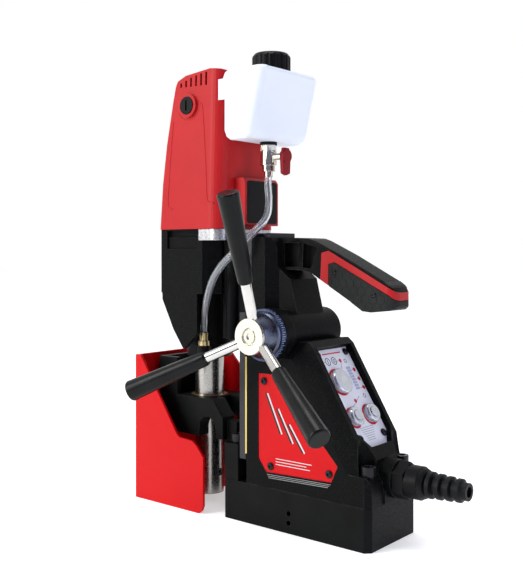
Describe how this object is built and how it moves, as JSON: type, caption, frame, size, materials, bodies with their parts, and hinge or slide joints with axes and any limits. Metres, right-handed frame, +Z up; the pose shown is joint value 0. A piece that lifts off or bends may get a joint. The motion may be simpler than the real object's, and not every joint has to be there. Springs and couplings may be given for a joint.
{
  "type": "magnetic drill press",
  "caption": "Portable magnetic-base drilling machine: rack-fed motor and arbor, three-handle capstan, tilted control panel, carry handle, chip guard and coolant tank.",
  "frame": {"origin": "centre of the magnet's lower face", "axes": "+Z up along the feed, +X towards the control panel and cable outlet, -Y towards the capstan handles"},
  "size_m": [0.3636, 0.1685, 0.4523],
  "materials": {
    "blackened_steel": "black oxide, satin",
    "copper": "enamelled winding",
    "potting": "cast resin, matt",
    "textured_black": "cast, textured black powder coat",
    "screw_black": "black oxide",
    "bronze": "sintered bronze",
    "red_sheet": "satin powder coat",
    "panel_white": "printed matt white",
    "board_green": "solder mask",
    "button_aluminium": "spun finish",
    "brass_strip": "ground",
    "red_plastic": "moulded, satin",
    "grip_rubber": "hexagon grain",
    "black_plastic": "moulded",
    "black_rubber": "moulded",
    "dark_steel": "ground and blackened",
    "gear_steel": "ground",
    "machined_aluminium": "turned",
    "laminations": "varnished",
    "carbon": "carbon",
    "arbor_steel": "ground",
    "brass_fitting": "turned",
    "clear_pvc": "clear flexible tube",
    "milky_plastic": "translucent blow moulded",
    "nickel": "nickel plated",
    "lever_red": "moulded",
    "hub_steel": "polished",
    "dial_steel": "engraved ring",
    "chrome_rod": "bright chrome",
    "grip_plastic": "satin phenolic"
  },
  "bodies": {
    "base": {"magnet_base": "blackened_steel", "magnet_coils": "copper", "coil_potting": "potting", "main_housing": "textured_black", "foot_block": "blackened_steel", "base_bolts": "screw_black", "arbor_bracket": "blackened_steel", "bracket_bush": "bronze", "guard_carrier": "blackened_steel", "guard_screws": "screw_black", "side_plate_near": "red_sheet", "side_plate_far": "red_sheet", "side_plate_screws": "screw_black", "control_panel": "panel_white", "panel_screws": "screw_black", "circuit_board": "board_green", "wear_strips": "brass_strip", "shaft_bushes": "bronze", "handle_arm": "textured_black", "handle_trim": "red_plastic", "handle_pads": "grip_rubber", "handle_screws": "screw_black", "gland_nut": "black_plastic", "bend_protector": "black_rubber"},
    "guard": {"guard": "red_sheet"},
    "armature": {"armature": "laminations", "cooling_fan": "black_plastic"},
    "intermediate_gear": {"intermediate_gear": "gear_steel"},
    "spindle": {"arbor": "arbor_steel", "spindle_gear": "gear_steel", "arbor_screws": "screw_black"},
    "capstan": {"pinion_shaft": "gear_steel", "capstan_hub": "hub_steel", "depth_dial": "dial_steel", "hub_screw": "hub_steel", "handle_rods": "chrome_rod", "handle_grips": "grip_plastic"},
    "valve_lever": {"valve_lever": "lever_red"},
    "tank_cap": {"tank_cap": "black_plastic"},
    "magnet_button": {"magnet_button": "button_aluminium"},
    "start_button": {"start_button": "button_aluminium"},
    "stop_button": {"stop_button": "button_aluminium"},
    "carriage": {"carriage_slide": "dark_steel", "feed_rack": "gear_steel", "gearbox_housing": "textured_black", "gearbox_flange": "machined_aluminium", "motor_casing": "red_plastic", "motor_top_cap": "red_plastic", "motor_rear_cover": "red_plastic", "stator": "laminations", "carbon_brushes": "carbon", "brush_caps": "black_plastic", "motor_bearings": "gear_steel", "spindle_bearings": "gear_steel", "coolant_collar": "blackened_steel", "hose_fitting": "brass_fitting", "coolant_hose": "clear_pvc", "coolant_tank": "milky_plastic", "tank_seal": "black_rubber", "valve_body": "nickel"}
  },
  "joints": [
    {"name": "carriage_feed", "type": "slide", "parent": "base", "child": "carriage", "axis": [0, 0, 1], "range_m": [0, 0.095]},
    {"name": "capstan_turn", "type": "hinge", "parent": "base", "child": "capstan", "pos_m": [-0.02, 0, 0.182], "axis": [0, 1, 0], "range_deg": [0, 454]},
    {"name": "armature_spin", "type": "hinge", "parent": "carriage", "child": "armature", "pos_m": [-0.128, 0, 0.3], "axis": [0, 0, 1], "continuous": true},
    {"name": "intermediate_spin", "type": "hinge", "parent": "carriage", "child": "intermediate_gear", "pos_m": [-0.11005, 0.0109, 0.25], "axis": [0, 0, 1], "continuous": true},
    {"name": "spindle_spin", "type": "hinge", "parent": "carriage", "child": "spindle", "pos_m": [-0.138, 0, 0.2], "axis": [0, 0, 1], "continuous": true},
    {"name": "valve_turn", "type": "hinge", "parent": "carriage", "child": "valve_lever", "pos_m": [-0.037, 0, 0.351], "axis": [1, 0, 0], "range_deg": [0, 90]},
    {"name": "cap_turn", "type": "hinge", "parent": "carriage", "child": "tank_cap", "pos_m": [-0.055, 0, 0.443], "axis": [0, 0, 1], "range_deg": [0, 540]},
    {"name": "guard_slide", "type": "slide", "parent": "base", "child": "guard", "axis": [0, 0, 1], "range_m": [0, 0.03]},
    {"name": "magnet_button_press", "type": "slide", "parent": "base", "child": "magnet_button", "axis": [-0.8499, 0, -0.527], "range_m": [0, 0.0015], "stiffness_N_per_m": 600, "springref_m": -0.002},
    {"name": "start_button_press", "type": "slide", "parent": "base", "child": "start_button", "axis": [-0.8499, 0, -0.527], "range_m": [0, 0.0015], "stiffness_N_per_m": 600, "springref_m": -0.002},
    {"name": "stop_button_press", "type": "slide", "parent": "base", "child": "stop_button", "axis": [-0.8499, 0, -0.527], "range_m": [0, 0.0015], "stiffness_N_per_m": 600, "springref_m": -0.002}
  ],
  "couplings": [
    {"joint": "capstan_turn", "follows": "carriage_feed", "rad_per_m": 83.333},
    {"joint": "intermediate_spin", "follows": "armature_spin", "ratio": -0.3125},
    {"joint": "spindle_spin", "follows": "armature_spin", "ratio": 0.082237}
  ]
}
